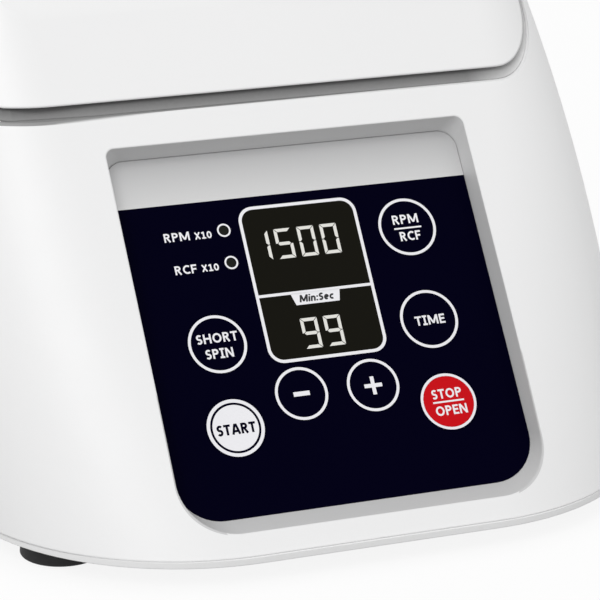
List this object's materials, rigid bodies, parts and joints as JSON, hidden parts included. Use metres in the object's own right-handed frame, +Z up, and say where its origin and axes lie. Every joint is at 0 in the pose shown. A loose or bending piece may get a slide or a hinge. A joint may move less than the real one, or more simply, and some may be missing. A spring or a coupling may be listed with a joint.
{
  "type": "laboratory centrifuge",
  "caption": "Bench micro-centrifuge with a leaning recessed keypad, rolled-edge hinged lid, rotor chamber and fixed-angle rotor for small tubes.",
  "frame": {"origin": "middle of the footprint, on the bench", "axes": "+Z up, -Y towards the person at the control panel, +X to their right"},
  "size_m": [0.2266, 0.2853, 0.167],
  "materials": {
    "housing": "fine satin moulded white",
    "lid": "satin moulded white",
    "base_plate": "matt light grey paint",
    "screw_steel": "zinc plated",
    "foot_rubber": "matt black rubber",
    "chamber_steel": "spun stainless",
    "bracket_steel": "zinc plated sheet",
    "mount_rubber": "matt rubber",
    "post_steel": "turned",
    "motor_paint": "satin black",
    "panel_film": "printed film, silver band over dark navy",
    "display_window": "smoked window",
    "digit_module": "black with pale segments",
    "lamp_lens": "clear lens, unlit",
    "circuit_board": "green solder mask",
    "switch_plastic": "black",
    "key_film": "printed film",
    "fitting_plastic": "black moulded",
    "rocker_plastic": "black moulded",
    "pin_brass": "nickel on brass",
    "capacitor_sleeve": "shrink sleeve",
    "heat_sink": "extruded",
    "liner_plastic": "grey moulded",
    "seal_rubber": "moulded rubber",
    "rotor_aluminium": "anodised",
    "shaft_steel": "ground",
    "knob_aluminium": "anodised, fluted",
    "solenoid_tape": "wound coil under amber tape"
  },
  "bodies": {
    "housing": {"upper_housing": "housing", "base_plate": "base_plate", "base_screws": "screw_steel", "foot_front_left": "foot_rubber", "foot_front_right": "foot_rubber", "foot_rear_left": "foot_rubber", "foot_rear_right": "foot_rubber", "rotor_chamber": "chamber_steel", "motor_bracket": "bracket_steel", "motor_mounts": "mount_rubber", "motor_posts": "post_steel", "drive_motor": "motor_paint", "front_panel": "panel_film", "display_window": "display_window", "digit_module_upper": "digit_module", "digit_module_lower": "digit_module", "indicator_lamps": "lamp_lens", "control_board": "circuit_board", "key_switches": "switch_plastic", "hinge_bracket_left": "bracket_steel", "hinge_bracket_right": "bracket_steel", "hinge_pin_left": "shaft_steel", "hinge_pin_right": "shaft_steel", "latch_frame_left": "bracket_steel", "latch_frame_right": "bracket_steel", "latch_solenoid_left": "solenoid_tape", "latch_solenoid_right": "solenoid_tape", "mains_inlet": "fitting_plastic", "inlet_pins": "pin_brass", "power_switch_frame": "fitting_plastic", "power_board": "circuit_board", "power_capacitors": "capacitor_sleeve", "heat_sink": "heat_sink"},
    "lid": {"lid_shell": "lid", "lid_liner": "liner_plastic", "lid_seal": "seal_rubber", "lid_screws": "screw_steel", "lid_striker_left": "bracket_steel", "lid_striker_right": "bracket_steel", "hinge_arm_left": "bracket_steel", "hinge_arm_right": "bracket_steel"},
    "rotor": {"rotor": "rotor_aluminium", "motor_shaft": "shaft_steel"},
    "knob": {"rotor_knob": "knob_aluminium"},
    "key_speed_mode": {"key_speed_mode": "key_film"},
    "key_time": {"key_time": "key_film"},
    "key_stop_open": {"key_stop_open": "key_film"},
    "key_short_spin": {"key_short_spin": "key_film"},
    "key_start": {"key_start": "key_film"},
    "key_minus": {"key_minus": "key_film"},
    "key_plus": {"key_plus": "key_film"},
    "latch_bolt_left": {"latch_bolt_left": "shaft_steel"},
    "latch_bolt_right": {"latch_bolt_right": "shaft_steel"},
    "power_rocker": {"power_rocker": "rocker_plastic"}
  },
  "joints": [
    {"name": "lid_hinge", "type": "hinge", "parent": "housing", "child": "lid", "pos_m": [0, 0.112, 0.153], "axis": [-1, 0, 0], "range_deg": [0, 75]},
    {"name": "rotor_spin", "type": "hinge", "parent": "housing", "child": "rotor", "pos_m": [0, 0.034, 0.0676], "axis": [0, 0, 1], "continuous": true},
    {"name": "rotor_knob_turn", "type": "hinge", "parent": "rotor", "child": "knob", "pos_m": [0, 0.034, 0.0996], "axis": [0, 0, 1], "continuous": true},
    {"name": "key_speed_mode_press", "type": "slide", "parent": "housing", "child": "key_speed_mode", "axis": [0, 0.7986, -0.6018], "range_m": [0, 0.0005], "stiffness_N_per_m": 1500, "springref_m": -0.0004},
    {"name": "key_time_press", "type": "slide", "parent": "housing", "child": "key_time", "axis": [0, 0.7986, -0.6018], "range_m": [0, 0.0005], "stiffness_N_per_m": 1500, "springref_m": -0.0004},
    {"name": "key_stop_open_press", "type": "slide", "parent": "housing", "child": "key_stop_open", "axis": [0, 0.7986, -0.6018], "range_m": [0, 0.0005], "stiffness_N_per_m": 1500, "springref_m": -0.0004},
    {"name": "key_short_spin_press", "type": "slide", "parent": "housing", "child": "key_short_spin", "axis": [0, 0.7986, -0.6018], "range_m": [0, 0.0005], "stiffness_N_per_m": 1500, "springref_m": -0.0004},
    {"name": "key_start_press", "type": "slide", "parent": "housing", "child": "key_start", "axis": [0, 0.7986, -0.6018], "range_m": [0, 0.0005], "stiffness_N_per_m": 1500, "springref_m": -0.0004},
    {"name": "key_minus_press", "type": "slide", "parent": "housing", "child": "key_minus", "axis": [0, 0.7986, -0.6018], "range_m": [0, 0.0005], "stiffness_N_per_m": 1500, "springref_m": -0.0004},
    {"name": "key_plus_press", "type": "slide", "parent": "housing", "child": "key_plus", "axis": [0, 0.7986, -0.6018], "range_m": [0, 0.0005], "stiffness_N_per_m": 1500, "springref_m": -0.0004},
    {"name": "latch_bolt_right_slide", "type": "slide", "parent": "housing", "child": "latch_bolt_right", "axis": [1, 0, 0], "range_m": [0, 0.006]},
    {"name": "latch_bolt_left_slide", "type": "slide", "parent": "housing", "child": "latch_bolt_left", "axis": [-1, 0, 0], "range_m": [0, 0.006]},
    {"name": "power_rocker_tilt", "type": "hinge", "parent": "housing", "child": "power_rocker", "pos_m": [-0.018, 0.13685, 0.03981], "axis": [1, 0, 0], "range_deg": [0, 14]}
  ],
  "couplings": [
    {"joint": "latch_bolt_left_slide", "follows": "latch_bolt_right_slide", "ratio": 1}
  ]
}
